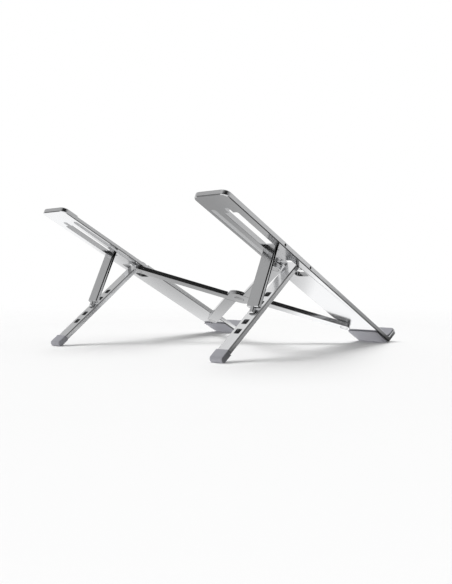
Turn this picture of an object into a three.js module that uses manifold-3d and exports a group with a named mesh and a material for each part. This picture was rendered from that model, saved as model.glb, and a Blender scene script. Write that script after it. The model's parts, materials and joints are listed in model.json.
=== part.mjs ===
// Folding laptop stand: two sloping arms, two crossbars that fold like
// scissors, and a leg and a strut under each arm.
// Millimetres, +Z up. The user sits on the -Y side.

import * as THREE from 'three';
import { mergeVertices } from 'three/addons/utils/BufferGeometryUtils.js';
import Module from 'manifold-3d';

const wasm = await Module();
wasm.setup();

// Slopes and angles in degrees
const armTiltDegrees = 26.66;
const legOpenDegrees = 63.36;
const crossbarOpenDegrees = 51.05;
const lipLeanDegrees = 33;

// Arm
const armLength = 260.5;
const armWidth = 32.3;
const armInnerEdge = 76.2;
const plateThickness = 4.3;
const rearCornerRadius = 5;
const edgeChamfer = 0.5;
const lipHeight = 15.6;
const lipCornerRadius = 3;
const lipEdgeRadius = 3;

// Clearances
const runningGap = 0.3;
const seatGap = 0.3;
const pinGap = 0.2;
const legSideGap = 0.4;
const strutSideGap = 0.3;
const tongueSideGap = 0.3;
const shoulderGap = 0.6;
const noseGap = 1.7;
const cutOverrun = 6;

// Hinge pins of leg and strut
const hingeLineInset = 19.1;
const legPinPlace = 146.5;
const strutPinPlace = 184.1;
const hingePinHeight = 2;
const hingePinRadius = 0.9;
const hingePinRecess = 1;
const hingePinBite = 1.7;

// Leg
const legWidth = 11;
const legThickness = 4.35;
const legChamfer = 0.6;
const knuckleRadius = 1.9;
const neckLength = 3;
const legPocketFront = 11;
const legPocketRear = 16.5;
const legPocketCornerRadius = 2;

// Catch pockets in the leg, counted from the hinge
const catchCount = 5;
const catchInUse = 2;
const firstCatchPlace = 43.3;
const catchPitch = 11;
const catchLength = 5.3;
const catchWidth = 5;
const catchDepth = 3;
const catchCornerRadius = 0.8;

// Foot cap and the tenon inside it
const capLength = 10.5;
const capProud = 0.7;
const capSideProud = 0.5;
const capChamfer = 0.5;
const tenonLength = 6;
const tenonThickness = 2.2;
const tenonWidth = 7;

// Strut
const strutWidth = 11.6;
const strutThickness = 3.7;
const strutShoulder = 52;
const strutChamfer = 0.5;
const shoulderCornerRadius = 1;
const tongueWidth = 3.8;
const noseDip = 1;
const noseShift = 0.3;
const strutSlotFront = 4.2;
const strutSlotCornerRadius = 1.5;

// Crossbars
const crossbarWidth = 10.8;
const crossbarThickness = 4;
const crossbarOffset = 5.8;
const crossbarChamfer = 0.2;
const hubPlace = 97.7;
const foldedArmGap = 0.4;
const lapGap = 0.3;
const notchGap = 0.35;

// Pins between crossbars and arms
const pivotPinRadius = 2;
const pinFootRadius = 3.2;
const pinFootHeight = 0.9;
const pivotHeadRadius = 3.3;
const slideHeadRadius = 4.6;
const pinHeadThickness = 0.7;
const pinHeadSink = 1.1;

// Rivet at the crossing
const rivetRadius = 2;
const rivetHeadRadius = 4.2;
const rivetHeadProud = 0.6;
const rivetHeadSink = 0.8;
const rivetHeadSideGap = 0.5;
const rivetTopRadius = 3.6;
const rivetTopHeight = 0.6;
const rivetTopSink = 1;

// Silicone pads: each has a back that sits in a shallow recess
const padSeat = 0.7;
const padBackInset = 1.4;
const padChamferShare = 0.3;
const footPadFront = 1.2;
const footPadLength = 22.8;
const footPadInset = 0.6;
const footPadProud = 1.3;
const footPadRadius = 1.5;
const liningInset = 0.6;
const liningProud = 1.3;
const liningRadius = 2.5;
const gripFront = 12.5;
const gripLength = 116;
const gripInnerInset = 11;
const gripOuterInset = 4.3;
const gripProud = 1.1;
const gripRadius = 3;

// Facet counts
const arcSegments = 3;
const profileSegments = 6;
const crossbarSegments = 7;
const roundSegments = 24;
const rodSegments = 12;

const armTilt = THREE.MathUtils.degToRad(armTiltDegrees);
const legOpen = THREE.MathUtils.degToRad(legOpenDegrees);
const crossbarOpen = THREE.MathUtils.degToRad(crossbarOpenDegrees);
const lipLean = THREE.MathUtils.degToRad(lipLeanDegrees);
const lipTurn = Math.PI / 2 + lipLean;

// Crossbar places that follow from the arms' spacing
const hingeLine = armInnerEdge + hingeLineInset;
const trackInset = crossbarOffset - foldedArmGap / 2;
const trackLine = armInnerEdge + trackInset;
const crossbarReach = (trackLine - crossbarOffset * Math.cos(crossbarOpen)) / Math.sin(crossbarOpen);
const halfSpread = crossbarReach * Math.cos(crossbarOpen) - crossbarOffset * Math.sin(crossbarOpen);
const frontPivotPlace = hubPlace - halfSpread;
const slideOpenPlace = hubPlace + halfSpread;
const slideFoldedPlace = frontPivotPlace + 2 * crossbarReach;
const crossbarTop = -runningGap;
const crossbarBottom = crossbarTop - crossbarThickness;
const hubRadius = crossbarOffset + crossbarWidth / 2;

// Leg coordinates: Y runs from the hinge pin to the foot, Z points at the strut
const legInnerFace = hingePinHeight + runningGap;
const legCatchFace = legInnerFace + legThickness;
const capInnerFace = legInnerFace - runningGap / 2;
const capOuterFace = legCatchFace + capProud;
const capRadius = (capOuterFace - capInnerFace) / 2;
const capMiddle = (capOuterFace + capInnerFace) / 2;

// The leg is long enough for its cap to stand level with the foot pads
const legSlope = legOpen - armTilt;
const padEdgePlace = footPadFront + padChamferShare * (footPadProud - seatGap);
const floorHeight = padEdgePlace * Math.sin(armTilt) - footPadProud * Math.cos(armTilt);
const legPinRise = legPinPlace * Math.sin(armTilt) + hingePinHeight * Math.cos(armTilt);
const capDrop = legPinRise + capMiddle * Math.cos(legSlope) - capRadius - floorHeight;
const capCentrePlace = capDrop / Math.sin(legSlope);
const capStart = capCentrePlace + capRadius - capLength;

// The strut is long enough for its nose to sit in the catch pocket in use
const noseRadius = strutThickness / 2;
const nosePlace = firstCatchPlace + catchInUse * catchPitch + noseShift;
const noseHeight = legCatchFace + noseRadius - noseDip;
const noseRear = legPinPlace + nosePlace * Math.cos(legOpen) + noseHeight * Math.sin(legOpen);
const noseLevel = hingePinHeight - nosePlace * Math.sin(legOpen) + noseHeight * Math.cos(legOpen);
const strutReach = Math.hypot(noseRear - strutPinPlace, hingePinHeight - noseLevel);
const strutOpen = Math.atan2(hingePinHeight - noseLevel, noseRear - strutPinPlace);
const strutLength = strutReach + noseRadius;

function aluminiumFinish() {
  return { color: 0xb7b9bb, roughness: 0.32, metalness: 1 };
}

function siliconeFinish() {
  return { color: 0x8a8b90, roughness: 0.75, metalness: 0 };
}

function steelFinish() {
  return { color: 0x7c7e80, roughness: 0.3, metalness: 1 };
}

function solid(geometry) {
  geometry.deleteAttribute('normal');
  geometry.deleteAttribute('uv');
  const closed = mergeVertices(geometry);
  const vertProperties = new Float32Array(closed.attributes.position.array);
  const triVerts = new Uint32Array(closed.index.array);
  return new wasm.Manifold(new wasm.Mesh({ numProp: 3, vertProperties, triVerts }));
}

function piece(name, body, finish) {
  const data = body.getMesh();
  const geometry = new THREE.BufferGeometry();
  geometry.setAttribute('position', new THREE.BufferAttribute(data.vertProperties, 3));
  geometry.setIndex(new THREE.BufferAttribute(data.triVerts, 1));
  geometry.computeVertexNormals();
  const mesh = new THREE.Mesh(geometry, new THREE.MeshStandardMaterial(finish));
  mesh.name = name;
  return mesh;
}

// Rectangle with its own radius at each corner: front left, front right, rear right, rear left
function roundedRectangle(left, right, front, rear, radii) {
  const corners = [
    [left, front, 1, 1],
    [right, front, -1, 1],
    [right, rear, -1, -1],
    [left, rear, 1, -1],
  ];
  const shape = new THREE.Shape();
  corners.forEach(([x, y, inwardX, inwardY], index) => {
    const radius = radii[index];
    const start = Math.PI + index * Math.PI / 2;
    if (radius > 0) {
      const centre = [x + inwardX * radius, y + inwardY * radius];
      shape.absarc(centre[0], centre[1], radius, start, start + Math.PI / 2, false);
    } else if (index === 0) {
      shape.moveTo(x, y);
    } else {
      shape.lineTo(x, y);
    }
  });
  shape.closePath();
  return shape;
}

function evenRadii(radius) {
  return [radius, radius, radius, radius];
}

// Upright prism over a shape in the XY plane, with an optional chamfer on both rims
function prism(shape, bottom, top, chamfer = 0, curveSegments = arcSegments) {
  const geometry = new THREE.ExtrudeGeometry(shape, {
    depth: top - bottom - 2 * chamfer,
    bevelEnabled: chamfer > 0,
    bevelThickness: chamfer,
    bevelSize: chamfer,
    bevelOffset: -chamfer,
    bevelSegments: 1,
    curveSegments,
  });
  geometry.translate(0, 0, bottom + chamfer);
  return geometry;
}

// Prism along X over a profile drawn in the YZ plane
function profilePrism(shape, left, right, chamfer = 0) {
  const geometry = prism(shape, left, right, chamfer, profileSegments);
  geometry.rotateX(Math.PI / 2);
  geometry.rotateZ(Math.PI / 2);
  return geometry;
}

function box(left, right, front, rear, bottom, top) {
  const geometry = new THREE.BoxGeometry(right - left, rear - front, top - bottom);
  geometry.translate((left + right) / 2, (front + rear) / 2, (bottom + top) / 2);
  return geometry;
}

// Turned solid about a line along Z, from radius and height pairs that go upward
function turned(pairs, x = 0, y = 0) {
  const profile = pairs.map(([radius, height]) => new THREE.Vector2(radius, height));
  const geometry = new THREE.LatheGeometry(profile, roundSegments);
  geometry.rotateX(Math.PI / 2);
  geometry.translate(x, y, 0);
  return geometry;
}

function disc(radius, bottom, top, x = 0, y = 0) {
  return turned([[0, bottom], [radius, bottom], [radius, top], [0, top]], x, y);
}

// Rod along X
function crossRod(radius, left, right, y, z) {
  const geometry = new THREE.CylinderGeometry(radius, radius, right - left, rodSegments);
  geometry.rotateZ(Math.PI / 2);
  geometry.translate((left + right) / 2, y, z);
  return geometry;
}

// Span across an arm between two insets from its inner edge; side is -1 for left, 1 for right
function across(side, nearInset, farInset) {
  const ends = [side * (armInnerEdge + nearInset), side * (armInnerEdge + farInset)];
  return [Math.min(...ends), Math.max(...ends)];
}

function onHingeLine(side, width) {
  return [side * hingeLine - width / 2, side * hingeLine + width / 2];
}

// Lip coordinates: X across, Y up the lip from the front bottom edge, Z out of its outer face
function placeOnLip(geometry) {
  geometry.rotateX(lipTurn);
  return geometry;
}

function lipPoint(up, outward) {
  const along = up * Math.cos(lipTurn) - outward * Math.sin(lipTurn);
  return [along, up * Math.sin(lipTurn) + outward * Math.cos(lipTurn)];
}

// Height up the lip at which its inner face meets the arm's top
function innerBend() {
  return plateThickness * (1 - Math.sin(lipLean)) / Math.cos(lipLean);
}

function armProfile() {
  const centre = lipPoint(lipHeight - lipEdgeRadius, -lipEdgeRadius);
  const profile = new THREE.Shape();
  profile.moveTo(0, 0);
  profile.lineTo(armLength, 0);
  profile.lineTo(armLength, plateThickness);
  profile.lineTo(...lipPoint(innerBend(), -plateThickness));
  profile.lineTo(...lipPoint(lipHeight, -plateThickness));
  profile.absarc(centre[0], centre[1], lipEdgeRadius, lipTurn, lipTurn + Math.PI / 2, false);
  profile.closePath();
  return profile;
}

// Plate with the lip folded up at its front end
function armBlank(side) {
  const [left, right] = across(side, 0, armWidth);
  const rearOutline = roundedRectangle(left, right, -armWidth, armLength,
    [0, 0, rearCornerRadius, rearCornerRadius]);
  const frontBlock = box(left - cutOverrun, right + cutOverrun, -armWidth, armWidth,
    -cutOverrun, armWidth);
  const lipOutline = roundedRectangle(left, right, -armLength, lipHeight,
    [0, 0, lipCornerRadius, lipCornerRadius]);
  return solid(profilePrism(armProfile(), left, right, edgeChamfer))
    .intersect(solid(prism(rearOutline, 0, plateThickness, edgeChamfer)).add(solid(frontBlock)))
    .intersect(solid(placeOnLip(prism(lipOutline, -armLength, cutOverrun))));
}

// Through slot with the plan of the folded strut
function strutSlot(side) {
  const [left, right] = onHingeLine(side, strutWidth + 2 * strutSideGap);
  const [tipLeft, tipRight] = onHingeLine(side, tongueWidth + 2 * tongueSideGap);
  const wide = roundedRectangle(left, right, strutPinPlace - strutSlotFront,
    strutPinPlace + strutShoulder + shoulderGap, evenRadii(strutSlotCornerRadius));
  const tip = roundedRectangle(tipLeft, tipRight, strutPinPlace,
    strutPinPlace + strutLength + noseGap, [0, 0, strutSlotCornerRadius, strutSlotCornerRadius]);
  const top = plateThickness + cutOverrun;
  return solid(prism(wide, -cutOverrun, top)).add(solid(prism(tip, -cutOverrun, top)));
}

function legSlot(side) {
  const [left, right] = onHingeLine(side, legWidth + 2 * legSideGap);
  const outline = roundedRectangle(left, right, legPinPlace - legPocketFront,
    legPinPlace + legPocketRear, evenRadii(legPocketCornerRadius));
  return solid(prism(outline, -cutOverrun, plateThickness + cutOverrun));
}

// Through groove for the slide pin, and the sunk track for the pin's flat head
function slideTrack(side) {
  const grooveRadius = pivotPinRadius + runningGap;
  const headRadius = slideHeadRadius + runningGap;
  const middle = side * trackLine;
  const groove = roundedRectangle(middle - grooveRadius, middle + grooveRadius,
    slideOpenPlace - grooveRadius, slideFoldedPlace + grooveRadius, evenRadii(grooveRadius));
  const [left, right] = across(side, -cutOverrun, trackInset + headRadius);
  const track = roundedRectangle(left, right, slideOpenPlace - headRadius,
    slideFoldedPlace + headRadius, evenRadii(edgeChamfer));
  const top = plateThickness + cutOverrun;
  return solid(prism(groove, -cutOverrun, top))
    .add(solid(prism(track, plateThickness - pinHeadSink, top)));
}

// Inset of the slot wall that faces the arm's inner edge
function slotWallInset() {
  return hingeLineInset - Math.max(strutWidth / 2 + strutSideGap, legWidth / 2 + legSideGap);
}

function hingePinHole(side, place) {
  const [left, right] = across(side, slotWallInset() - hingePinBite - seatGap,
    armWidth + cutOverrun);
  return solid(crossRod(hingePinRadius + pinGap, left, right, place, hingePinHeight));
}

function frontPivotHole(side) {
  const x = side * trackLine;
  const top = plateThickness + cutOverrun;
  const shank = disc(pivotPinRadius + pinGap, -cutOverrun, top, x, frontPivotPlace);
  const head = disc(pivotHeadRadius + runningGap, plateThickness - pinHeadSink, top,
    x, frontPivotPlace);
  return solid(shank).add(solid(head));
}

function footPadOutline(side, inset) {
  const [left, right] = across(side, footPadInset + inset, armWidth - footPadInset - inset);
  return roundedRectangle(left, right, footPadFront + inset,
    footPadFront + footPadLength - inset, evenRadii(footPadRadius));
}

function gripOutline(side, inset) {
  const [left, right] = across(side, gripInnerInset + inset, armWidth - gripOuterInset - inset);
  return roundedRectangle(left, right, gripFront + inset, gripFront + gripLength - inset,
    evenRadii(gripRadius));
}

function liningOutline(side, inset) {
  const [left, right] = across(side, liningInset + inset, armWidth - liningInset - inset);
  return roundedRectangle(left, right, innerBend() + liningInset + inset,
    lipHeight - liningInset - inset, evenRadii(liningRadius));
}

// Faces that carry pads: where the face is along Z, which way is out of it, and how it is placed
function asDrawn(geometry) {
  return geometry;
}

function undersideFace() {
  return { level: 0, outward: -1, place: asDrawn };
}

function topFace() {
  return { level: plateThickness, outward: 1, place: asDrawn };
}

function lipFace() {
  return { level: -plateThickness, outward: -1, place: placeOnLip };
}

// Prism between two levels measured out of a face
function padLayer(outline, face, start, end, chamfer = 0) {
  const levels = [face.level + face.outward * start, face.level + face.outward * end];
  return solid(face.place(prism(outline, Math.min(...levels), Math.max(...levels), chamfer)));
}

function padSolid(outlineAt, side, face, proud) {
  const slab = proud - seatGap;
  const chamfer = padChamferShare * slab;
  return padLayer(outlineAt(side, 0), face, seatGap, proud, chamfer)
    .add(padLayer(outlineAt(side, padBackInset), face, seatGap - padSeat, seatGap + slab / 2));
}

function padRecess(outlineAt, side, face) {
  return padLayer(outlineAt(side, padBackInset - pinGap), face, -padSeat, cutOverrun);
}

function arm(side) {
  return armBlank(side)
    .subtract(strutSlot(side))
    .subtract(legSlot(side))
    .subtract(slideTrack(side))
    .subtract(hingePinHole(side, legPinPlace))
    .subtract(hingePinHole(side, strutPinPlace))
    .subtract(frontPivotHole(side))
    .subtract(padRecess(footPadOutline, side, undersideFace()))
    .subtract(padRecess(gripOutline, side, topFace()))
    .subtract(padRecess(liningOutline, side, lipFace()));
}

function footPad(side) {
  return padSolid(footPadOutline, side, undersideFace(), footPadProud);
}

function gripStrip(side) {
  return padSolid(gripOutline, side, topFace(), gripProud);
}

function lipLining(side) {
  return padSolid(liningOutline, side, lipFace(), liningProud);
}

function hingePin(side, place) {
  const [left, right] = across(side, slotWallInset() - hingePinBite, armWidth - hingePinRecess);
  return solid(crossRod(hingePinRadius, left, right, place, hingePinHeight));
}

// Side profile of the leg: round knuckle, short neck and straight bar, its upper end
// cut level with the knuckle so that it stays below the arm's top
function legProfile() {
  const topEdge = (legCatchFace * Math.cos(legOpen) - knuckleRadius) / Math.sin(legOpen);
  const neckAngle = Math.atan2(legInnerFace, neckLength);
  const neckReach = Math.hypot(legInnerFace, neckLength);
  const neckSlope = neckAngle + Math.asin(knuckleRadius / neckReach);
  const profile = new THREE.Shape();
  profile.moveTo(neckLength, legInnerFace);
  profile.lineTo(capStart, legInnerFace);
  profile.lineTo(capStart, legCatchFace);
  profile.lineTo(topEdge, legCatchFace);
  profile.absarc(0, 0, knuckleRadius, Math.PI / 2 + legOpen, 1.5 * Math.PI + neckSlope, false);
  profile.closePath();
  return profile;
}

function catchPocket(index) {
  const middle = firstCatchPlace + index * catchPitch;
  const outline = roundedRectangle(-catchWidth / 2, catchWidth / 2,
    middle - catchLength / 2, middle + catchLength / 2, evenRadii(catchCornerRadius));
  return solid(prism(outline, legCatchFace - catchDepth, legCatchFace + cutOverrun));
}

// Tongue at the leg's end, or with a gap round it the hollow in the cap
function tenon(gap) {
  const middle = (legInnerFace + legCatchFace) / 2;
  const halfWidth = tenonWidth / 2 + gap;
  const halfThickness = tenonThickness / 2 + gap;
  return solid(box(-halfWidth, halfWidth, capStart - tenonLength / 2,
    capStart + tenonLength + gap, middle - halfThickness, middle + halfThickness));
}

function leg() {
  const halfWidth = legWidth / 2;
  let body = solid(profilePrism(legProfile(), -halfWidth, halfWidth, legChamfer))
    .add(tenon(0))
    .subtract(solid(crossRod(hingePinRadius + pinGap, -legWidth, legWidth, 0, 0)));
  for (let index = 0; index < catchCount; index += 1) {
    body = body.subtract(catchPocket(index));
  }
  return body;
}

// Sleeve over the tenon, with a round nose that stands on the floor
function footCap() {
  const halfWidth = legWidth / 2 + capSideProud;
  const start = capStart + seatGap;
  const profile = new THREE.Shape();
  profile.moveTo(start, capInnerFace);
  profile.absarc(capCentrePlace, capMiddle, capRadius, -Math.PI / 2, Math.PI / 2, false);
  profile.lineTo(start, capOuterFace);
  profile.closePath();
  return solid(profilePrism(profile, -halfWidth, halfWidth, capChamfer)).subtract(tenon(seatGap));
}

// Flat bar with round ends, stepped in to a narrow tongue
function strut() {
  const halfWidth = strutWidth / 2;
  const halfTongue = tongueWidth / 2;
  const side = new THREE.Shape();
  side.absarc(0, 0, noseRadius, Math.PI / 2, 1.5 * Math.PI, false);
  side.absarc(strutReach, 0, noseRadius, -Math.PI / 2, Math.PI / 2, false);
  side.closePath();
  const wide = roundedRectangle(-halfWidth, halfWidth, -noseRadius - cutOverrun, strutShoulder,
    [0, 0, shoulderCornerRadius, shoulderCornerRadius]);
  const tongue = roundedRectangle(-halfTongue, halfTongue, 0, strutLength + cutOverrun,
    evenRadii(0));
  return solid(prism(wide, -noseRadius, noseRadius, strutChamfer))
    .add(solid(prism(tongue, -noseRadius, noseRadius, strutChamfer)))
    .intersect(solid(profilePrism(side, -halfWidth, halfWidth, strutChamfer)))
    .subtract(solid(crossRod(hingePinRadius + pinGap, -strutWidth, strutWidth, 0, 0)));
}

// Plan of a crossbar when folded, hub at the origin: two offset halves and the hub disc.
// Hand 1 has its rear half on the right, hand -1 on the left
function crossbarOutline(hand, grow) {
  const innerSide = crossbarOffset - crossbarWidth / 2 - grow;
  const outerSide = hubRadius + grow;
  const shape = new THREE.Shape();
  [1, -1].forEach((lengthwise) => {
    const start = lengthwise > 0 ? 0 : Math.PI;
    shape.absarc(lengthwise * crossbarOffset, lengthwise * crossbarReach,
      crossbarWidth / 2 + grow, start, start + Math.PI, false);
    shape.absarc(0, 0, outerSide, start + Math.acos(innerSide / outerSide), start + Math.PI, false);
  });
  shape.closePath();
  const points = shape.getPoints(crossbarSegments).map((point) => {
    return new THREE.Vector2(hand * point.x, point.y);
  });
  return new THREE.Shape(points);
}

// Half of the thickness is cut away where the other crossbar passes
function lapNotch(hand) {
  const middle = (crossbarTop + crossbarBottom) / 2;
  const cutUpper = hand > 0;
  const bottom = cutUpper ? middle - lapGap / 2 : crossbarBottom - cutOverrun;
  const top = cutUpper ? crossbarTop + cutOverrun : middle + lapGap / 2;
  const geometry = prism(crossbarOutline(-hand, notchGap), bottom, top);
  geometry.rotateZ(2 * hand * crossbarOpen);
  return solid(geometry);
}

function pinSeat(x, y) {
  const shank = disc(pivotPinRadius + pinGap, crossbarBottom - cutOverrun,
    crossbarTop + cutOverrun, x, y);
  const foot = disc(pinFootRadius + runningGap, crossbarBottom - cutOverrun,
    crossbarBottom + pinFootHeight + seatGap, x, y);
  return solid(shank).add(solid(foot));
}

function rivetSeat(hand) {
  const shank = solid(disc(rivetRadius + pinGap, crossbarBottom - cutOverrun,
    crossbarTop + cutOverrun));
  if (hand > 0) {
    return shank.add(solid(disc(rivetHeadRadius + rivetHeadSideGap,
      crossbarBottom - cutOverrun, crossbarBottom + rivetHeadSink)));
  }
  return shank.add(solid(disc(rivetTopRadius + runningGap,
    crossbarTop - rivetTopSink, crossbarTop + cutOverrun)));
}

function crossbar(hand) {
  const outline = crossbarOutline(hand, 0);
  return solid(prism(outline, crossbarBottom, crossbarTop, crossbarChamfer))
    .subtract(lapNotch(hand))
    .subtract(rivetSeat(hand))
    .subtract(pinSeat(-hand * crossbarOffset, -crossbarReach))
    .subtract(pinSeat(hand * crossbarOffset, crossbarReach));
}

// Pin through a crossbar's end and an arm, with a foot below and a flat head on top
function crossbarPin(headRadius) {
  const headBottom = plateThickness - pinHeadSink + seatGap;
  const footTop = crossbarBottom + pinFootHeight;
  return solid(turned([
    [0, crossbarBottom],
    [pinFootRadius, crossbarBottom],
    [pinFootRadius, footTop],
    [pivotPinRadius, footTop],
    [pivotPinRadius, headBottom],
    [headRadius, headBottom],
    [headRadius, headBottom + pinHeadThickness],
    [0, headBottom + pinHeadThickness],
  ]));
}

function hubRivet() {
  const headBottom = crossbarBottom - rivetHeadProud;
  const headTop = crossbarBottom + rivetHeadSink - seatGap;
  const topBottom = crossbarTop - rivetTopSink + seatGap;
  return solid(turned([
    [0, headBottom],
    [rivetHeadRadius, headBottom],
    [rivetHeadRadius, headTop],
    [rivetRadius, headTop],
    [rivetRadius, topBottom],
    [rivetTopRadius, topBottom],
    [rivetTopRadius, topBottom + rivetTopHeight],
    [0, topBottom + rivetTopHeight],
  ]));
}

// The group's axes are those of the arms: X across, Y up the slope, Z out of their top faces
function slopedGroup() {
  const group = new THREE.Group();
  group.name = 'sloped_frame';
  group.rotation.x = armTilt;
  return group;
}

// Legs and struts are drawn along Y from their hinge pin and turned down into place
function hinged(mesh, side, place, angle) {
  mesh.position.set(side * hingeLine, place, hingePinHeight);
  mesh.rotation.x = -angle;
  return mesh;
}

function addSide(group, side, label) {
  group.add(piece(`arm_${label}`, arm(side), aluminiumFinish()));
  group.add(piece(`foot_pad_${label}`, footPad(side), siliconeFinish()));
  group.add(piece(`lip_lining_${label}`, lipLining(side), siliconeFinish()));
  group.add(piece(`grip_strip_${label}`, gripStrip(side), siliconeFinish()));
  group.add(piece(`leg_pin_${label}`, hingePin(side, legPinPlace), steelFinish()));
  group.add(piece(`strut_pin_${label}`, hingePin(side, strutPinPlace), steelFinish()));
  const legMesh = piece(`leg_${label}`, leg(), aluminiumFinish());
  const capMesh = piece(`foot_cap_${label}`, footCap(), siliconeFinish());
  const strutMesh = piece(`strut_${label}`, strut(), aluminiumFinish());
  group.add(hinged(legMesh, side, legPinPlace, legOpen));
  group.add(hinged(capMesh, side, legPinPlace, legOpen));
  group.add(hinged(strutMesh, side, strutPinPlace, strutOpen));
  const pivot = piece(`front_pivot_${label}`, crossbarPin(pivotHeadRadius), steelFinish());
  pivot.position.set(side * trackLine, frontPivotPlace, 0);
  const slide = piece(`slide_pin_${label}`, crossbarPin(slideHeadRadius), steelFinish());
  slide.position.set(side * trackLine, slideOpenPlace, 0);
  group.add(pivot, slide);
}

function addCrossbar(group, hand, name) {
  const mesh = piece(name, crossbar(hand), aluminiumFinish());
  mesh.rotation.z = -hand * crossbarOpen;
  mesh.position.set(0, hubPlace, 0);
  group.add(mesh);
}

function stand() {
  const group = slopedGroup();
  addSide(group, -1, 'left');
  addSide(group, 1, 'right');
  addCrossbar(group, 1, 'crossbar_lower');
  addCrossbar(group, -1, 'crossbar_upper');
  const rivet = piece('hub_rivet', hubRivet(), steelFinish());
  rivet.position.set(0, hubPlace, 0);
  group.add(rivet);
  return group;
}

// The origin is under the middle of the stand, at the floor
function centred(group) {
  const whole = new THREE.Group();
  whole.name = 'laptop_stand';
  whole.add(group);
  whole.updateMatrixWorld(true);
  const bounds = new THREE.Box3().setFromObject(whole, true);
  const middle = bounds.getCenter(new THREE.Vector3());
  group.position.set(-middle.x, -middle.y, -bounds.min.z);
  whole.updateMatrixWorld(true);
  return whole;
}

export default centred(stand());
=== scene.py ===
import json
from math import atan2, pi, radians

import bmesh
import bpy
from mathutils import Matrix, Vector


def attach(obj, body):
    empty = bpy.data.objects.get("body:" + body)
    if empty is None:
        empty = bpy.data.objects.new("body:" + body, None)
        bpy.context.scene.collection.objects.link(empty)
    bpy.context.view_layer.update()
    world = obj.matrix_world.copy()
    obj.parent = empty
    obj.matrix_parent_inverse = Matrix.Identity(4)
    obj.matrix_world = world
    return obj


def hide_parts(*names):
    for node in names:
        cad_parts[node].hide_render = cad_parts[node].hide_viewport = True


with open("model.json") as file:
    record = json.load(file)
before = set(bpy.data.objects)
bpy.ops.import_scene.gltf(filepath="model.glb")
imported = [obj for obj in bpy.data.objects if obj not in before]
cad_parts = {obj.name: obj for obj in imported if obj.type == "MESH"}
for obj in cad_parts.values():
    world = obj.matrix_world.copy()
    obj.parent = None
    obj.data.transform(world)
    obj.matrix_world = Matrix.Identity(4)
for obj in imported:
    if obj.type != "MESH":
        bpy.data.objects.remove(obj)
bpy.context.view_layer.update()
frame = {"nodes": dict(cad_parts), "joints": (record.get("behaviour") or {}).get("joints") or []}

bl_info = {
    "name": "Folding Laptop Stand",
    "version": (1, 0, 0),
    "blender": (4, 5, 0),
    "location": "3D View > Sidebar > Laptop Stand",
    "description": "Finishes, soft pads, floor and lamps of a folding aluminium laptop stand",
    "category": "Object",
}

JOINTS = {joint["name"]: joint for joint in frame["joints"]}
SIDES = {"left": -1, "right": 1}
MILLIMETRE = 0.001

# Modelling. Distances are in metres, and the cosines tell how straight a direction is.
STRAIGHT = 0.999
REARWARD = 0.1
SAME_LEVEL = 0.00001
PAD_WELD = 0.000001
METAL_WELD = 0.000002
FLAT_ANGLE = radians(0.6)
EDGE_ANGLE = radians(28)
PAD_SMOOTH_ANGLE = radians(35)
METAL_SMOOTH_ANGLE = radians(40)
LEVEL_WEIGHT = 90
CORNER_SEGMENTS = 8
RIM_SEGMENTS = 4
EDGE_SEGMENTS = 2
NOSE_SHARE = 0.998
# Face attribute that marks the chamfers which get a painted dark reflection.
REFLECTION_CHAMFERS = "cut_edges"
# The rings of the rivet's dome: inset in millimetres and share of the rise.
DOME_RINGS = ((0.45, 0.42), (0.7, 0.3), (0.9, 0.18), (0.9, 0.1))

# Finishes. A ramp is a list of stops, each a position and a level, and a tone is a share of
# the material's own colour.
EDGE_RAMP = [(0.02, 0), (0.16, 1)]
SOFT_EDGE = 0.0005
FINE_EDGE = 0.0003
# Painted shade in a piece's own pockets: ramp and reach of its mask.
POCKET_SHADE_RAMP = [(0.26, 0), (0.5, 1)]
POCKET_SHADE_REACH = 0.008
MASK_SAMPLES = 6
# Painted dark reflection: tone of the aluminium's rounded edges.
EDGE_REFLECTION_TONE = 0.42
# Painted dark reflection: tone of the long chamfers that face the rear.
REFLECTION_CHAMFER_TONE = 0.3
# Painted shade: tone deep in the pockets.
POCKET_SHADE_TONE = 0.45
CLOUD_TONE = 0.9
SPECK_TONE = 1.18
RUBBED_TONE = 1.25
MARK_TONE = 0.85
BRIGHT_EDGE_TONE = 1.3
DULL_STEEL_TONE = 0.85
DARK_RING_TONE = 0.7
PALE_EDGE_TONE = 1.8
FLOOR_CLOUD_TONE = 0.97

# Floor. Distances along its ramps are in metres.
FLOOR_SIZE = 60
FLOOR_GLOW = 0.04
FLOOR_FADE = [(0.35, 0), (0.9, 1)]
# Painted shade: left of the stand the floor is nearly black to diffuse rays, darkening the caps'
# sides.
DIM_FLOOR = [(0.1, 0), (0.112, 0.95)]

# Surroundings. The room's light follows the angle to the dark side, and the rest the height.
DARK_SIDE = (-0.5, 0.62, 0.6)
ROOM_LIGHT = [(0.28, 0.85), (0.38, 0.68), (0.465, 0.66), (0.56, 0.52), (0.69, 0.5), (0.77, 0.34),
              (0.87, 0.25), (0.92, 0.015)]
LOW_SHIFT = [(0.1, 0.06), (0.45, 0)]
CEILING = [(0.05, 0.68), (0.3, 0.58), (0.67, 0.58), (0.74, 1)]
CEILING_PEAK = 1.45
SKYLIGHT = [(0.77, 0), (0.88, 0.5)]
ROOM_FILL = 0.5

# Glowing cards on the floor, painted reflections seen only in metal: level, middle and size.
SIDE_CARD = [(0.142, 0.05), (0.165, 0.2), (0.2, 0.3), (0.6, 0.3)]
SIDE_CARD_MIDDLE = (-2.602, -2.425, 0.0003)
SIDE_CARD_SIZE = (5, 5.15, 1)
UNDER_CARD = [(0.06, 0.3), (0.095, 0.4), (0.125, 0.6), (0.14, 0.72), (0.152, 1), (0.22, 1),
              (0.32, 0.6)]
UNDER_CARD_PEAK = 1.15
UNDER_CARD_MIDDLE = (0.288, -0.1, 0.0002)
UNDER_CARD_SIZE = (0.8, 1, 1)
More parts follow.
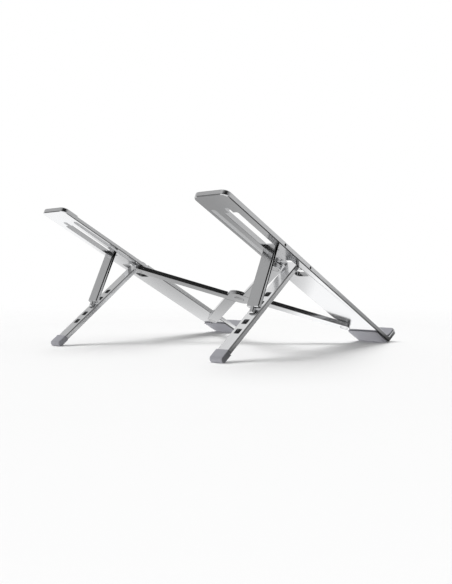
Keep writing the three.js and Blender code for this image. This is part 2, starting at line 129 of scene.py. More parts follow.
# Middle and stretch of the painted reflection of the stand's shadow.
REFLECTED_SHADOW_SPOT = (0.08, 0.04, 0)
REFLECTED_SHADOW_SPOT_STRETCH = (0.95, 1, 1)
REAR_CARD = [(0.4, 0.3), (0.6, 0.05)]
REAR_CARD_MIDDLE = (-0.6, 1.9, 0.0002)
REAR_CARD_SIZE = (4, 3, 1)

# Lamps: name, direction that the light comes from, strength and angle.
LAMPS = (("soft_key", (0.44, -0.1, 0.89), 2.3, radians(38)),
         ("wide_top", (0.1, 0, 1), 1.15, radians(130)),
         ("floor_bounce", (0.42, 0.8, -0.42), 2.8, radians(60)))

# Camera. The place is in metres, and the lens and the sensor are in millimetres.
CAMERA_PLACE = (-0.4265, 0.48605, 0.05921)
CAMERA_TURN = (radians(90 - 1.065), 0, radians(-138.86))
CAMERA_LENS = 43.47
CAMERA_SENSOR = 36
CAMERA_CLIP = (0.01, 200)


# ---------------------------------------------------------------- sizes and colours


def length(name, description, millimetres):
    """A length property in metres, from its size in millimetres."""
    return bpy.props.FloatProperty(name=name, description=description, unit="LENGTH", precision=5,
                                   default=millimetres * MILLIMETRE)


def colour(name, description, value):
    return bpy.props.FloatVectorProperty(name=name, description=description, subtype="COLOR",
                                         default=value, min=0, max=1)


def share(name, description, value):
    return bpy.props.FloatProperty(name=name, description=description, subtype="FACTOR",
                                   default=value, min=0, max=1)


class StandSizes(bpy.types.PropertyGroup):
    """Sizes that the soft pieces follow, and those of the metal's edges."""

    arm_inner_edge: length("Arm inner edge", "From the middle of the stand to an arm", 76.2)
    arm_width: length("Arm width", "Width of one arm", 32.3)
    plate_thickness: length("Plate thickness", "Thickness of an arm's plate", 4.3)
    hinge_line_inset: length("Hinge line inset", "From an arm's inner edge to its hinges", 19.1)
    leg_pin_place: length("Leg pin place", "Leg's hinge pin, from the arm's front", 146.5)
    hinge_pin_height: length("Hinge pin height", "Hinge pin above the arm's underside", 2)
    edge_rounding: length("Edge rounding", "Rounding of the metal's edges", 0.16)
    bar_rounding: length("Crossbar rounding", "Rounding of the crossbars' edges", 0.09)
    # Faces within these two sizes get a painted dark reflection.
    reflection_chamfer_width: length("Cut edge width", "Widest face that counts as a cut edge", 0.95)
    reflection_chamfer_length: length("Cut edge length", "Shortest face that counts as a cut edge", 20)
    rivet_dome: length("Rivet dome", "Rise of the rivet's head to its middle", 0.5)
    leg_open: bpy.props.FloatProperty(name="Leg angle", description="Angle of a leg to its arm",
                                      subtype="ANGLE", default=radians(63.36))
    lip_lean: bpy.props.FloatProperty(name="Lip lean", description="Lean of the lip past upright",
                                      subtype="ANGLE", default=radians(33))


class PadSizes(bpy.types.PropertyGroup):
    """Sizes of the silicone pads, linings, strips and caps."""

    seat_gap: length("Seat gap", "Gap between a pad and its face", 0.3)
    rim_radius: length("Rim radius", "Rounding of a pad's rim", 0.3)
    back_inset: length("Back inset", "From a pad's edge to its sunk back", 1.4)
    back_depth: length("Back depth", "Depth of the back under the pad", 0.65)
    foot_pad_front: length("Foot pad front", "Foot pad, from the arm's front", 1.2)
    foot_pad_length: length("Foot pad length", "Length of a foot pad", 22.8)
    foot_pad_inset: length("Foot pad inset", "Foot pad, from the arm's sides", 0.6)
    foot_pad_proud: length("Foot pad height", "Foot pad's face below the arm", 1.3)
    foot_pad_radius: length("Foot pad corner", "Corner radius of a foot pad", 1.5)
    lining_start: length("Lining start", "Lining's lower edge, up the lip", 2.94)
    lining_end: length("Lining end", "Lining's upper edge, up the lip", 15)
    lining_inset: length("Lining inset", "Lining, from the lip's sides", 0.6)
    lining_proud: length("Lining height", "Lining's face out of the lip", 1.3)
    lining_radius: length("Lining corner", "Corner radius of a lining", 2.5)
    grip_front: length("Grip front", "Grip strip, from the arm's front", 12.5)
    grip_length: length("Grip length", "Length of a grip strip", 116)
    grip_inner_inset: length("Grip inner inset", "Grip strip, from the arm's inner edge", 11)
    grip_outer_inset: length("Grip outer inset", "Grip strip, from the arm's outer edge", 4.3)
    grip_proud: length("Grip height", "Grip strip's face above the arm", 1.1)
    grip_radius: length("Grip corner", "Corner radius of a grip strip", 3)
    cap_width: length("Cap width", "Width of a foot cap", 12)
    cap_start: length("Cap start", "Foot cap's open end, from the leg's hinge", 108.222)
    cap_end: length("Cap end", "Foot cap's nose, from the leg's hinge", 118.422)
    cap_inner_face: length("Cap inner face", "Foot cap's face towards the user", 2.15)
    cap_outer_face: length("Cap outer face", "Foot cap's face towards the strut", 7.35)
    cap_edge_radius: length("Cap edge radius", "Rounding of a foot cap's long edges", 0.55)
    tenon_thickness: length("Tenon thickness", "Height of the hollow for the leg's tenon", 2.8)
    tenon_length: length("Tenon length", "Depth of the hollow", 6)


class Finishes(bpy.types.PropertyGroup):
    """Colours and gloss of the stand."""

    aluminium: colour("Aluminium", "Blasted and anodised aluminium", (0.8, 0.805, 0.815))
    aluminium_roughness: share("Aluminium roughness", "Blur of reflections in aluminium", 0.17)
    silicone: colour("Silicone", "Grey silicone of pads and caps", (0.28, 0.28, 0.304))
    silicone_roughness: share("Silicone roughness", "Blur of reflections in silicone", 0.62)
    steel: colour("Steel", "Polished steel of pins and rivet", (0.72, 0.72, 0.73))
    steel_roughness: share("Steel roughness", "Blur of reflections in steel", 0.14)
    # Nearly black, so that the pin holes read as dark dots.
    pin_steel: colour("Pin steel", "Burnished steel of the hinge pins", (0.025, 0.025, 0.027))
    floor: colour("Floor", "White studio floor", (0.71, 0.71, 0.71))


def sizes():
    return bpy.context.scene.stand_sizes


def pads():
    return bpy.context.scene.pad_sizes


def finishes():
    return bpy.context.scene.stand_finishes


# ---------------------------------------------------------------- materials


class Value:
    """A number in a material, which takes part in Python expressions."""

    def __init__(self, tree, socket):
        self.tree = tree
        self.socket = socket

    def combined(self, operation, first, second):
        node = self.tree.nodes.new("ShaderNodeMath")
        node.operation = operation
        for place, number in enumerate((first, second)):
            if isinstance(number, Value):
                self.tree.links.new(number.socket, node.inputs[place])
            else:
                node.inputs[place].default_value = number
        return Value(self.tree, node.outputs[0])

    def at_most(self, limit):
        return self.combined("MINIMUM", self, limit)

    def __add__(self, other):
        return self.combined("ADD", self, other)

    def __radd__(self, other):
        return self.combined("ADD", other, self)

    def __sub__(self, other):
        return self.combined("SUBTRACT", self, other)

    def __rsub__(self, other):
        return self.combined("SUBTRACT", other, self)

    def __mul__(self, other):
        return self.combined("MULTIPLY", self, other)

    def __rmul__(self, other):
        return self.combined("MULTIPLY", other, self)


class Finish:
    """A material that is put together from nodes."""

    def __init__(self, name):
        self.material = bpy.data.materials.new(name)
        self.material.use_nodes = True
        self.tree = self.material.node_tree
        self.tree.nodes.clear()

    def add(self, kind, settings=None, values=None, result=0):
        """Adds a node: its settings first, then the values or links of its sockets."""
        node = self.tree.nodes.new(kind)
        for setting, value in (settings or {}).items():
            if setting == "stops":
                self.set_stops(node.color_ramp, value)
            else:
                setattr(node, setting, value)
        for name, value in (values or {}).items():
            socket = node.inputs[name]
            if isinstance(value, Value):
                self.tree.links.new(value.socket, socket)
            else:
                socket.default_value = value
        return Value(self.tree, node.outputs[result]) if node.outputs else None

    @staticmethod
    def set_stops(ramp, stops):
        while len(ramp.elements) < len(stops):
            ramp.elements.new(1)
        for element, (position, level) in zip(ramp.elements, stops):
            element.position = position
            element.color = (level, level, level, 1)

    def place(self):
        """Place on the piece, in metres."""
        return self.add("ShaderNodeTexCoord", result="Object")

    def noise(self, scale, detail=2, roughness=0.5, stretch=None):
        place = self.place()
        if stretch:
            place = self.add("ShaderNodeMapping", values={"Vector": place, "Scale": stretch})
        return self.add("ShaderNodeTexNoise", {"noise_dimensions": "3D"},
                        {"Vector": place, "Scale": scale, "Detail": detail,
                         "Roughness": roughness}, "Fac")

    def ramp(self, value, stops):
        return self.add("ShaderNodeValToRGB", {"stops": stops}, {"Fac": value})

    def mix(self, amount, first, second):
        node = self.tree.nodes.new("ShaderNodeMix")
        node.data_type = "RGBA"
        for place, value in ((0, amount), (6, first), (7, second)):
            if isinstance(value, Value):
                self.tree.links.new(value.socket, node.inputs[place])
            else:
                node.inputs[place].default_value = value
        return Value(self.tree, node.outputs[2])

    def surface(self, values):
        shader = self.add("ShaderNodeBsdfPrincipled", values=values)
        self.add("ShaderNodeOutputMaterial", values={"Surface": shader})
        return self.material


def with_alpha(rgb, level=1.0):
    return (rgb[0] * level, rgb[1] * level, rgb[2] * level, 1)


def edge_mask(finish, radius):
    """1 along the edges of a piece and 0 on its faces."""
    rounded = finish.add("ShaderNodeBevel", {"samples": MASK_SAMPLES}, {"Radius": radius})
    true_normal = finish.add("ShaderNodeNewGeometry", result="True Normal")
    likeness = finish.add("ShaderNodeVectorMath", {"operation": "DOT_PRODUCT"},
                          {0: rounded, 1: true_normal}, "Value")
    return finish.ramp(1 - likeness, EDGE_RAMP)


def pocket_shade_mask(finish, reach):
    """0 deep in a piece's own pockets and 1 on its open faces: the mask of painted shade in
    pockets.
    """
    openness = finish.add("ShaderNodeAmbientOcclusion",
                          {"samples": MASK_SAMPLES, "only_local": True}, {"Distance": reach}, "AO")
    return finish.ramp(openness, POCKET_SHADE_RAMP)


def aluminium_finish():
    """Aluminium blasted with fine beads: grain, clouding, painted shade in pockets, painted dark
    edge reflections.
    """
    look = finishes()
    finish = Finish("blasted_aluminium")
    grain = finish.noise(scale=3200, detail=3, roughness=0.6)
    clouds = finish.noise(scale=38, detail=3)
    edge = edge_mask(finish, SOFT_EDGE)
    # Painted dark reflection along the rounded edges.
    edge_reflected = finish.mix(edge, with_alpha(look.aluminium),
                      with_alpha(look.aluminium, EDGE_REFLECTION_TONE))
    clouded = finish.mix(0.3 * clouds, edge_reflected, with_alpha(look.aluminium, CLOUD_TONE))
    # Painted shade deep in the piece's own pockets and slots.
    toned = finish.mix(pocket_shade_mask(finish, POCKET_SHADE_REACH),
                       with_alpha(look.aluminium, POCKET_SHADE_TONE), clouded)
    # Painted dark reflection on the marked chamfers that face the rear.
    reflection_chamfer = finish.add("ShaderNodeAttribute", {"attribute_name": REFLECTION_CHAMFERS}, result="Fac")
    shade = finish.mix(reflection_chamfer, toned, with_alpha(look.aluminium, REFLECTION_CHAMFER_TONE))
    bump = finish.add("ShaderNodeBump", values={"Strength": 0.03, "Distance": 0.00003,
                                                "Height": grain})
    roughness = (look.aluminium_roughness + 0.06 * (clouds - 0.5) + 0.05 * (grain - 0.5)
                 - 0.05 * edge)
    return finish.surface({"Base Color": shade, "Metallic": 1, "Roughness": roughness,
                           "Normal": bump})


def silicone_finish():
    """Matt moulded silicone: fine grain, faint handling marks and paler rubbed edges."""
    look = finishes()
    finish = Finish("grey_silicone")
    grain = finish.noise(scale=2600, detail=4, roughness=0.65)
    marks = finish.noise(scale=90, detail=4, roughness=0.6)
    edge = edge_mask(finish, SOFT_EDGE)
    speckled = finish.mix(0.4 * grain, with_alpha(look.silicone),
                          with_alpha(look.silicone, SPECK_TONE))
    rubbed = finish.mix(0.5 * edge, speckled, with_alpha(look.silicone, RUBBED_TONE))
    shade = finish.mix(0.3 * marks, rubbed, with_alpha(look.silicone, MARK_TONE))
    bump = finish.add("ShaderNodeBump", values={"Strength": 0.16, "Distance": 0.00006,
                                                "Height": grain})
    roughness = look.silicone_roughness + 0.16 * (marks - 0.5) + 0.08 * (grain - 0.5)
    return finish.surface({"Base Color": shade, "Metallic": 0, "Roughness": roughness,
                           "Normal": bump})


def steel_finish():
    """Turned steel: fine rings from the lathe and a soft shine."""
    look = finishes()
    finish = Finish("turned_steel")
    grain = finish.noise(scale=1800, stretch=(1, 1, 3))
    clouds = finish.noise(scale=120)
    edge = edge_mask(finish, FINE_EDGE)
    toned = finish.mix(0.4 * clouds, with_alpha(look.steel),
                       with_alpha(look.steel, DULL_STEEL_TONE))
    shade = finish.mix(0.6 * edge, toned, with_alpha(look.steel, BRIGHT_EDGE_TONE))
    bump = finish.add("ShaderNodeBump", values={"Strength": 0.06, "Distance": 0.00003,
                                                "Height": grain})
    roughness = look.steel_roughness + 0.12 * (grain - 0.5) + 0.08 * (clouds - 0.5)
    return finish.surface({"Base Color": shade, "Metallic": 1, "Roughness": roughness,
                           "Normal": bump})


def dark_steel_finish():
    """Nearly black steel of the hinge pins, with faint rings and paler edges."""
    look = finishes()
    finish = Finish("near_black_steel")
    grain = finish.noise(scale=2200, stretch=(3, 1, 1))
    edge = edge_mask(finish, FINE_EDGE)
    toned = finish.mix(0.5 * grain, with_alpha(look.pin_steel),
                       with_alpha(look.pin_steel, DARK_RING_TONE))
    shade = finish.mix(0.5 * edge, toned, with_alpha(look.pin_steel, PALE_EDGE_TONE))
    bump = finish.add("ShaderNodeBump", values={"Strength": 0.06, "Distance": 0.00003,
                                                "Height": grain})
    return finish.surface({"Base Color": shade, "Metallic": 1,
                           "Roughness": look.steel_roughness + 0.15 * grain, "Normal": bump})


def finish_named(name, make):
    """The material of that name, made the first time that it is asked for."""
    return bpy.data.materials.get(name) or make()


def aluminium():
    return finish_named("blasted_aluminium", aluminium_finish)


def silicone():
    return finish_named("grey_silicone", silicone_finish)


def steel():
    return finish_named("turned_steel", steel_finish)


def dark_steel():
    return finish_named("near_black_steel", dark_steel_finish)


# ---------------------------------------------------------------- places


def slope_frame():
    """Axes of the arms: X across, Y up the slope from the front edge, Z out of the top."""
    stand = sizes()
    axis = JOINTS["crossbar_fold"]["axis"]
    turn = Matrix.Rotation(atan2(-axis[1], axis[2]), 4, "X")
    pin = Vector((-(stand.arm_inner_edge + stand.hinge_line_inset), stand.leg_pin_place,
                  stand.hinge_pin_height))
    return Matrix.Translation(Vector(JOINTS["left_leg_fold"]["pos_m"]) - turn @ pin) @ turn


def leg_frame(side):
    """Axes of a leg: Y from its hinge pin to its foot, Z towards the strut."""
    stand = sizes()
    pin = Vector((side * (stand.arm_inner_edge + stand.hinge_line_inset), stand.leg_pin_place,
                  stand.hinge_pin_height))
    return slope_frame() @ Matrix.Translation(pin) @ Matrix.Rotation(-stand.leg_open, 4, "X")


def underside_frame():
    """Face under an arm: Y up the slope, Z out of the face."""
    return slope_frame() @ Matrix.Scale(-1, 4, (0, 0, 1))


def top_frame():
    return slope_frame() @ Matrix.Translation((0, 0, sizes().plate_thickness))


def lip_frame():
    """Face of the lip towards the laptop: Y up the lip, Z out of the face."""
    stand = sizes()
    on_lip = slope_frame() @ Matrix.Rotation(pi / 2 + stand.lip_lean, 4, "X")
    face = on_lip @ Matrix.Translation((0, 0, -stand.plate_thickness))
    return face @ Matrix.Scale(-1, 4, (0, 0, 1))


def across(side, near_inset, far_inset):
    """Span across an arm between two insets from its inner edge."""
    ends = [side * (sizes().arm_inner_edge + inset) for inset in (near_inset, far_inset)]
    return min(ends), max(ends)


# ---------------------------------------------------------------- modelling


def start_block(name, low, high):
    """A block between two corners, ready for edit mode."""
    bpy.ops.object.select_all(action="DESELECT")
    middle = (Vector(low) + Vector(high)) / 2
    bpy.ops.mesh.primitive_cube_add(size=1, location=middle, scale=Vector(high) - Vector(low))
    block = bpy.context.active_object
    block.name = name
    block.data.name = name
    bpy.ops.object.transform_apply(location=True, rotation=True, scale=True)
    return block


def select_in_edit(piece, mode, test):
    """Selects the edges or faces that pass a test, and returns how many there are."""
    bpy.ops.mesh.select_mode(type=mode)
    bpy.ops.mesh.select_all(action="DESELECT")
    mesh = bmesh.from_edit_mesh(piece.data)
    found = [item for item in (mesh.edges if mode == "EDGE" else mesh.faces) if test(item)]
    for item in found:
        item.select_set(True)
    mesh.select_flush_mode()
    bmesh.update_edit_mesh(piece.data)
    return len(found)


def edge_runs(edge, axis):
    along = edge.verts[1].co - edge.verts[0].co
    return along.length > 0 and abs(along.normalized()[axis]) > STRAIGHT


def faces_way(face, axis, sign):
    return face.normal[axis] * sign > STRAIGHT


def settle(piece, place):
    """Puts a piece in its place for good, turns its faces outward and smooths its curves."""
    piece.data.transform(place)
    bpy.ops.object.mode_set(mode="EDIT")
    bpy.ops.mesh.select_all(action="SELECT")
    bpy.ops.mesh.remove_doubles(threshold=PAD_WELD)
    bpy.ops.mesh.normals_make_consistent(inside=False)
    bpy.ops.object.mode_set(mode="OBJECT")
    bpy.ops.object.shade_smooth_by_angle(angle=PAD_SMOOTH_ANGLE)
    level_normals(piece)


def dress(piece, node, body, material):
    """Gives a piece its finish and its body, and hides the node that it stands for."""
    piece.data.materials.clear()
    piece.data.materials.append(material)
    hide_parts(node)
    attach(piece, body)


def level_normals(piece):
    """Shades large faces flat and leaves the bend of light to the rounded edges."""
    bpy.ops.object.modifier_add(type="WEIGHTED_NORMAL")
    levelling = piece.modifiers[-1]
    levelling.mode = "FACE_AREA"
    levelling.weight = LEVEL_WEIGHT
    levelling.keep_sharp = True
    bpy.ops.object.modifier_apply(modifier=levelling.name)


def mark_reflection_chamfers(piece):
    """Marks the long narrow chamfers that face the rear, for a painted dark reflection in the
    aluminium.
    """
    mesh = piece.data
    stand = sizes()
    marks = mesh.attributes.new(REFLECTION_CHAMFERS, "FLOAT", "FACE")
    for face in mesh.polygons:
        longest = max((mesh.vertices[first].co - mesh.vertices[second].co).length
                      for first, second in face.edge_keys)
        narrow = face.area < longest * stand.reflection_chamfer_width
        marked = narrow and longest > stand.reflection_chamfer_length and face.normal.y > REARWARD
        marks.data[face.index].value = 1 if marked else 0


def finished_metal(node, body, material, rounding_width=None, shape=None):
    """A copy of a CAD node with its facets joined and its edges rounded."""
    bpy.ops.object.select_all(action="DESELECT")
    rough = frame["nodes"][node]
    piece = bpy.data.objects.new(f"finished_{node}", rough.data.copy())
    bpy.context.scene.collection.objects.link(piece)
    piece.select_set(True)
    bpy.context.view_layer.objects.active = piece
    bpy.ops.object.mode_set(mode="EDIT")
    bpy.ops.mesh.select_all(action="SELECT")
    bpy.ops.mesh.remove_doubles(threshold=METAL_WELD)
    bpy.ops.mesh.dissolve_limited(angle_limit=FLAT_ANGLE)
    if shape:
        shape(piece)
    bpy.ops.object.mode_set(mode="OBJECT")
    bpy.ops.object.modifier_add(type="BEVEL")
    rounding = piece.modifiers[-1]
    rounding.width = rounding_width or sizes().edge_rounding
    rounding.segments = EDGE_SEGMENTS
    rounding.limit_method = "ANGLE"
    rounding.angle_limit = EDGE_ANGLE
    rounding.use_clamp_overlap = False
    bpy.ops.object.modifier_apply(modifier=rounding.name)
    bpy.ops.object.shade_smooth_by_angle(angle=METAL_SMOOTH_ANGLE)
    level_normals(piece)
    mark_reflection_chamfers(piece)
    dress(piece, node, body, material)


def domed(piece):
    """Turns the flat lower face of the rivet's head into a low dome."""
    down = slope_frame().to_3x3() @ Vector((0, 0, -1))
    lowest = max(down @ corner.co for corner in piece.data.vertices)
    found = select_in_edit(piece, "FACE", lambda face: face.normal @ down > STRAIGHT
                           and down @ face.verts[0].co > lowest - SAME_LEVEL)
    if not found:
        return
    rise = sizes().rivet_dome
    move_selected(-rise * down)
    for inset, share_of_rise in DOME_RINGS:
        bpy.ops.mesh.inset(thickness=inset * MILLIMETRE)
        move_selected(rise * share_of_rise * down)


def move_selected(offset):
    bpy.ops.transform.translate(value=offset)


def pad(name, outline, corner, proud):
    """A pad with round corners, a soft rim and a back that sits in the arm's recess."""
    left, right, front, rear = outline
    size = pads()
    piece = start_block(name, (left, front, size.seat_gap), (right, rear, proud))
    bpy.ops.object.mode_set(mode="EDIT")
    select_in_edit(piece, "EDGE", lambda edge: edge_runs(edge, 2))
    bpy.ops.mesh.bevel(offset=corner, segments=CORNER_SEGMENTS, affect="EDGES")
    select_in_edit(piece, "FACE", lambda face: faces_way(face, 2, 1))
    bpy.ops.mesh.region_to_loop()
    bpy.ops.mesh.bevel(offset=size.rim_radius, segments=RIM_SEGMENTS, affect="EDGES")
    select_in_edit(piece, "FACE", lambda face: faces_way(face, 2, -1))
    bpy.ops.mesh.inset(thickness=size.back_inset)
    bpy.ops.mesh.extrude_region_move(
        TRANSFORM_OT_translate={"value": (0, 0, -size.back_depth)})
    bpy.ops.object.mode_set(mode="OBJECT")
    return piece


def foot_cap(name):
    """A sleeve with a round nose, soft edges and a hollow for the leg's tenon."""
    size = pads()
    half = size.cap_width / 2
    radius = (size.cap_outer_face - size.cap_inner_face) / 2
    piece = start_block(name, (-half, size.cap_start, size.cap_inner_face),
                        (half, size.cap_end, size.cap_outer_face))
    bpy.ops.object.mode_set(mode="EDIT")
    nose = size.cap_end - radius / 4
    select_in_edit(piece, "EDGE", lambda edge: edge_runs(edge, 0) and edge.verts[0].co.y > nose)
    bpy.ops.mesh.bevel(offset=radius * NOSE_SHARE, segments=CORNER_SEGMENTS, affect="EDGES")
    for sign in (-1, 1):
        select_in_edit(piece, "FACE", lambda face: faces_way(face, 0, sign))
        bpy.ops.mesh.region_to_loop()
        bpy.ops.mesh.bevel(offset=size.cap_edge_radius, segments=RIM_SEGMENTS, affect="EDGES")
    select_in_edit(piece, "FACE", lambda face: faces_way(face, 1, -1))
    bpy.ops.mesh.inset(thickness=(size.cap_outer_face - size.cap_inner_face
                                  - size.tenon_thickness) / 2)
    bpy.ops.mesh.extrude_region_move(TRANSFORM_OT_translate={"value": (0, size.tenon_length, 0)})
    bpy.ops.object.mode_set(mode="OBJECT")
    return piece


# ---------------------------------------------------------------- operators


class StandOperator(bpy.types.Operator):
    bl_options = {"REGISTER", "UNDO"}


class OBJECT_OT_stand_foot_pads(StandOperator):
    """Model the silicone pads under the front of the arms"""

    bl_idname = "object.stand_foot_pads"
    bl_label = "Foot Pads"

    def execute(self, context):
        size, stand = pads(), sizes()
        for label, side in SIDES.items():
            left, right = across(side, size.foot_pad_inset, stand.arm_width - size.foot_pad_inset)
            outline = (left, right, size.foot_pad_front, size.foot_pad_front + size.foot_pad_length)
            piece = pad(f"soft_foot_pad_{label}", outline, size.foot_pad_radius,
                        size.foot_pad_proud)
            settle(piece, underside_frame())
            dress(piece, f"foot_pad_{label}", f"{label}_arm", silicone())
        return {"FINISHED"}


class OBJECT_OT_stand_lip_linings(StandOperator):
    """Model the silicone linings on the inner faces of the lips"""

    bl_idname = "object.stand_lip_linings"
    bl_label = "Lip Linings"

    def execute(self, context):
        size, stand = pads(), sizes()
        for label, side in SIDES.items():
            left, right = across(side, size.lining_inset, stand.arm_width - size.lining_inset)
            outline = (left, right, size.lining_start, size.lining_end)
            piece = pad(f"soft_lip_lining_{label}", outline, size.lining_radius,
                        size.lining_proud)
            settle(piece, lip_frame())
            dress(piece, f"lip_lining_{label}", f"{label}_arm", silicone())
        return {"FINISHED"}


class OBJECT_OT_stand_grip_strips(StandOperator):
    """Model the silicone strips on top of the arms"""

    bl_idname = "object.stand_grip_strips"
    bl_label = "Grip Strips"

    def execute(self, context):
        size, stand = pads(), sizes()
        for label, side in SIDES.items():
            left, right = across(side, size.grip_inner_inset,
                                 stand.arm_width - size.grip_outer_inset)
            outline = (left, right, size.grip_front, size.grip_front + size.grip_length)
            piece = pad(f"soft_grip_strip_{label}", outline, size.grip_radius, size.grip_proud)
            settle(piece, top_frame())
            dress(piece, f"grip_strip_{label}", f"{label}_arm", silicone())
        return {"FINISHED"}


class OBJECT_OT_stand_foot_caps(StandOperator):
    """Model the silicone caps on the ends of the legs"""

    bl_idname = "object.stand_foot_caps"
    bl_label = "Foot Caps"

    def execute(self, context):
        for label, side in SIDES.items():
            piece = foot_cap(f"soft_foot_cap_{label}")
            settle(piece, leg_frame(side))
            dress(piece, f"foot_cap_{label}", f"{label}_leg", silicone())
        return {"FINISHED"}


class OBJECT_OT_stand_arms(StandOperator):
    """Model the arms with soft edges"""

    bl_idname = "object.stand_arms"
    bl_label = "Arms"

    def execute(self, context):
        for label in SIDES:
            finished_metal(f"arm_{label}", f"{label}_arm", aluminium())
        return {"FINISHED"}


class OBJECT_OT_stand_legs(StandOperator):
    """Model the legs and struts with soft edges"""

    bl_idname = "object.stand_legs"
    bl_label = "Legs and Struts"

    def execute(self, context):
        for label in SIDES:
            finished_metal(f"leg_{label}", f"{label}_leg", aluminium())
            finished_metal(f"strut_{label}", f"{label}_strut", aluminium())
        return {"FINISHED"}


class OBJECT_OT_stand_crossbars(StandOperator):
    """Model the crossbars with soft edges"""

    bl_idname = "object.stand_crossbars"
    bl_label = "Crossbars"

    def execute(self, context):
        for label in ("lower", "upper"):
            finished_metal(f"crossbar_{label}", f"{label}_crossbar", aluminium(),
                           sizes().bar_rounding)
        return {"FINISHED"}


class OBJECT_OT_stand_pins(StandOperator):
    """Model the hinge pins, the crossbars' pins and the hub's rivet"""

    bl_idname = "object.stand_pins"
    bl_label = "Pins and Rivet"

    def execute(self, context):
        for label in SIDES:
            finished_metal(f"leg_pin_{label}", f"{label}_arm", dark_steel())
            finished_metal(f"strut_pin_{label}", f"{label}_arm", dark_steel())
            finished_metal(f"front_pivot_{label}", f"{label}_arm", steel())
        finished_metal("slide_pin_left", "upper_crossbar", steel())
        finished_metal("slide_pin_right", "lower_crossbar", steel())
        finished_metal("hub_rivet", "lower_crossbar", steel(), shape=domed)
        return {"FINISHED"}


def rays(finish, *kinds):
    """1 for rays of the given kinds and 0 for all others."""
    found = sum(finish.add("ShaderNodeLightPath", result=f"Is {kind} Ray") for kind in kinds)
    return found.at_most(1)


def floor_finish():
    """White studio floor with a faint unevenness, which fades into the white surroundings."""
    finish = Finish("studio_floor")
    clouds = finish.noise(scale=3)
    tone = finish.mix(0.08 * clouds, with_alpha(finishes().floor),
                      with_alpha(finishes().floor, FLOOR_CLOUD_TONE))
    lit = finish.add("ShaderNodeBsdfDiffuse", values={"Color": tone})
    # Painted shade: nearly black to diffuse rays left of the stand, so the caps' sides are darker.
    dim = finish.add("ShaderNodeBsdfDiffuse", values={"Color": (0, 0, 0, 1)})
    dimming = finish.ramp(leftward(finish), DIM_FLOOR) * rays(finish, "Diffuse")
    dimmed = finish.add("ShaderNodeMixShader", values={0: dimming, 1: lit, 2: dim})
    seen = rays(finish, "Camera", "Glossy", "Transmission")
    glow = finish.add("ShaderNodeEmission", values={"Color": FLOOR_GLOW * seen, "Strength": 1})
    near = finish.add("ShaderNodeAddShader", values={0: dimmed, 1: glow})
    far = finish.add("ShaderNodeEmission", values={"Color": (1, 1, 1, 1), "Strength": 1})
    distance = finish.add("ShaderNodeVectorMath", {"operation": "LENGTH"}, {0: finish.place()},
                          "Value")
    fade = finish.ramp(distance, FLOOR_FADE)
    shader = finish.add("ShaderNodeMixShader", values={0: fade * seen, 1: near, 2: far})
    finish.add("ShaderNodeOutputMaterial", values={"Surface": shader})
    return finish.material


def glowing_card(finish, level):
    """Makes a finish glow at a level that varies, with a faint unevenness."""
    clouds = finish.noise(scale=9)
    shader = finish.add("ShaderNodeEmission", values={"Color": level * (0.98 + 0.04 * clouds),
                                                      "Strength": 1})
    finish.add("ShaderNodeOutputMaterial", values={"Surface": shader})
    return finish.material


def leftward(finish):
    """Distance to the left of the stand's middle, in metres."""
    return -1 * finish.add("ShaderNodeSeparateXYZ", values={"Vector": finish.place()})


def side_card_finish():
    """Painted dark reflection: a glowing grey card that is darkest next to the stand."""
    finish = Finish("side_card")
    return glowing_card(finish, finish.ramp(leftward(finish), SIDE_CARD))


def rear_card_finish():
    """Painted dark reflection: a dark glowing card on the floor behind the camera."""
    finish = Finish("rear_card")
    rearward = finish.add("ShaderNodeSeparateXYZ", values={"Vector": finish.place()}, result="Y")
    return glowing_card(finish, finish.ramp(rearward, REAR_CARD))


def under_card_finish():
    """Painted reflection of the stand's shadow: a glowing grey card, darkest under the middle of
    the stand.
    """
    finish = Finish("under_card")
    offset = finish.add("ShaderNodeVectorMath", {"operation": "SUBTRACT"},
                        {0: finish.place(), 1: REFLECTED_SHADOW_SPOT})
    stretched = finish.add("ShaderNodeVectorMath", {"operation": "MULTIPLY"},
                           {0: offset, 1: REFLECTED_SHADOW_SPOT_STRETCH})
    distance = finish.add("ShaderNodeVectorMath", {"operation": "LENGTH"}, {0: stretched}, "Value")
    return glowing_card(finish, UNDER_CARD_PEAK * finish.ramp(distance, UNDER_CARD))


def sun(name, direction, strength, angle):
    """A soft sun that shines from a direction and shows in no reflection."""
    bpy.ops.object.light_add(type="SUN", location=Vector(direction) * 2)
    made = bpy.context.active_object
    made.name = name
    made.data.energy = strength
    made.data.angle = angle
    made.rotation_euler = (-Vector(direction)).to_track_quat("-Z", "Y").to_euler()
    made.visible_glossy = False


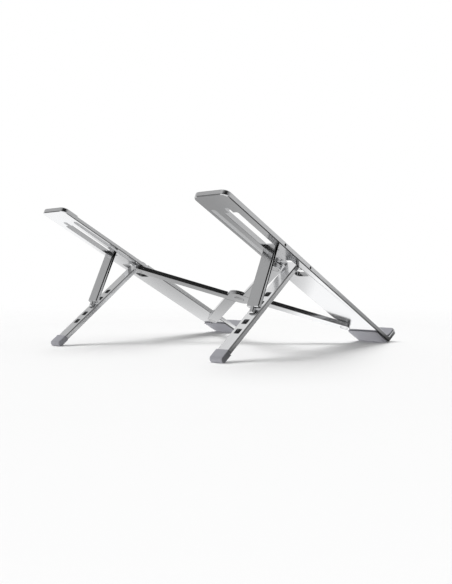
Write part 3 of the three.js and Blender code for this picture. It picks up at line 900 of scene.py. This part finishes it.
class OBJECT_OT_stand_stage(StandOperator):
    """Set up the floor, the white surroundings, the lamps and the camera"""

    bl_idname = "object.stand_stage"
    bl_label = "Stage"

    def execute(self, context):
        self.floor()
        self.surroundings(context.scene)
        self.card("side_card", SIDE_CARD_MIDDLE, SIDE_CARD_SIZE, side_card_finish)
        self.card("under_card", UNDER_CARD_MIDDLE, UNDER_CARD_SIZE, under_card_finish)
        self.card("rear_card", REAR_CARD_MIDDLE, REAR_CARD_SIZE, rear_card_finish)
        for lamp in LAMPS:
            sun(*lamp)
        self.camera(context.scene)
        context.scene.view_settings.view_transform = "Standard"
        return {"FINISHED"}

    def floor(self):
        bpy.ops.object.select_all(action="DESELECT")
        bpy.ops.mesh.primitive_plane_add(size=FLOOR_SIZE, location=(0, 0, 0))
        floor = bpy.context.active_object
        floor.name = "studio_floor"
        floor.data.materials.append(finish_named("studio_floor", floor_finish))
        floor.visible_shadow = False

    def surroundings(self, scene):
        """White to the camera all round; for light and reflections the room is dark on one side."""
        studio = Finish("white_studio")
        world = bpy.data.worlds.new("white_studio")
        scene.world = world
        world.use_nodes = True
        world.node_tree.nodes.clear()
        studio.tree = world.node_tree
        direction = studio.add("ShaderNodeTexCoord", result="Generated")
        towards_dark = studio.add("ShaderNodeVectorMath", {"operation": "DOT_PRODUCT"},
                                  {0: direction, 1: DARK_SIDE}, "Value")
        split = studio.add("ShaderNodeSeparateXYZ", values={"Vector": direction}, result="Z")
        overhead = CEILING_PEAK * studio.ramp(split, CEILING)
        darkness = 0.5 + 0.5 * towards_dark + studio.ramp(split, LOW_SHIFT)
        light = studio.ramp(darkness, ROOM_LIGHT) * overhead + studio.ramp(split, SKYLIGHT)
        camera = rays(studio, "Camera")
        lit = light * (1 - (1 - ROOM_FILL) * rays(studio, "Diffuse"))
        level = camera + lit * (1 - camera)
        shader = studio.add("ShaderNodeBackground", values={"Color": level, "Strength": 1})
        studio.add("ShaderNodeOutputWorld", values={"Surface": shader})
        bpy.data.materials.remove(studio.material)

    def card(self, name, middle, size, make):
        """A glowing card on the floor, a painted reflection, which only reflections show."""
        bpy.ops.mesh.primitive_plane_add(size=1, location=middle)
        card = bpy.context.active_object
        card.name = name
        card.scale = size
        bpy.ops.object.transform_apply(location=True, rotation=True, scale=True)
        card.data.materials.append(finish_named(name, make))
        card.visible_camera = False
        card.visible_diffuse = False
        card.visible_shadow = False

    def camera(self, scene):
        """Camera at the photograph's place, almost level, behind the stand."""
        bpy.ops.object.camera_add(location=CAMERA_PLACE, rotation=CAMERA_TURN)
        camera = bpy.context.active_object
        camera.name = "photo_camera"
        camera.data.sensor_width = CAMERA_SENSOR
        camera.data.lens = CAMERA_LENS
        camera.data.clip_start, camera.data.clip_end = CAMERA_CLIP
        scene.camera = camera


class VIEW3D_PT_laptop_stand(bpy.types.Panel):
    """Steps that dress the stand"""

    bl_idname = "VIEW3D_PT_laptop_stand"
    bl_label = "Laptop Stand"
    bl_space_type = "VIEW_3D"
    bl_region_type = "UI"
    bl_category = "Laptop Stand"

    def draw(self, context):
        for operator in OPERATORS:
            self.layout.operator(operator.bl_idname)


OPERATORS = (OBJECT_OT_stand_stage, OBJECT_OT_stand_arms, OBJECT_OT_stand_legs,
             OBJECT_OT_stand_crossbars, OBJECT_OT_stand_pins, OBJECT_OT_stand_foot_pads,
             OBJECT_OT_stand_lip_linings, OBJECT_OT_stand_grip_strips, OBJECT_OT_stand_foot_caps)
CLASSES = (StandSizes, PadSizes, Finishes) + OPERATORS + (VIEW3D_PT_laptop_stand,)


def register():
    for made in CLASSES:
        bpy.utils.register_class(made)
    bpy.types.Scene.stand_sizes = bpy.props.PointerProperty(type=StandSizes)
    bpy.types.Scene.pad_sizes = bpy.props.PointerProperty(type=PadSizes)
    bpy.types.Scene.stand_finishes = bpy.props.PointerProperty(type=Finishes)


def unregister():
    del bpy.types.Scene.stand_sizes
    del bpy.types.Scene.pad_sizes
    del bpy.types.Scene.stand_finishes
    for made in reversed(CLASSES):
        bpy.utils.unregister_class(made)


def main():
    register()
    bpy.ops.object.stand_stage()
    bpy.ops.object.stand_arms()
    bpy.ops.object.stand_legs()
    bpy.ops.object.stand_crossbars()
    bpy.ops.object.stand_pins()
    bpy.ops.object.stand_foot_pads()
    bpy.ops.object.stand_lip_linings()
    bpy.ops.object.stand_grip_strips()
    bpy.ops.object.stand_foot_caps()


if __name__ == "__main__":
    main()
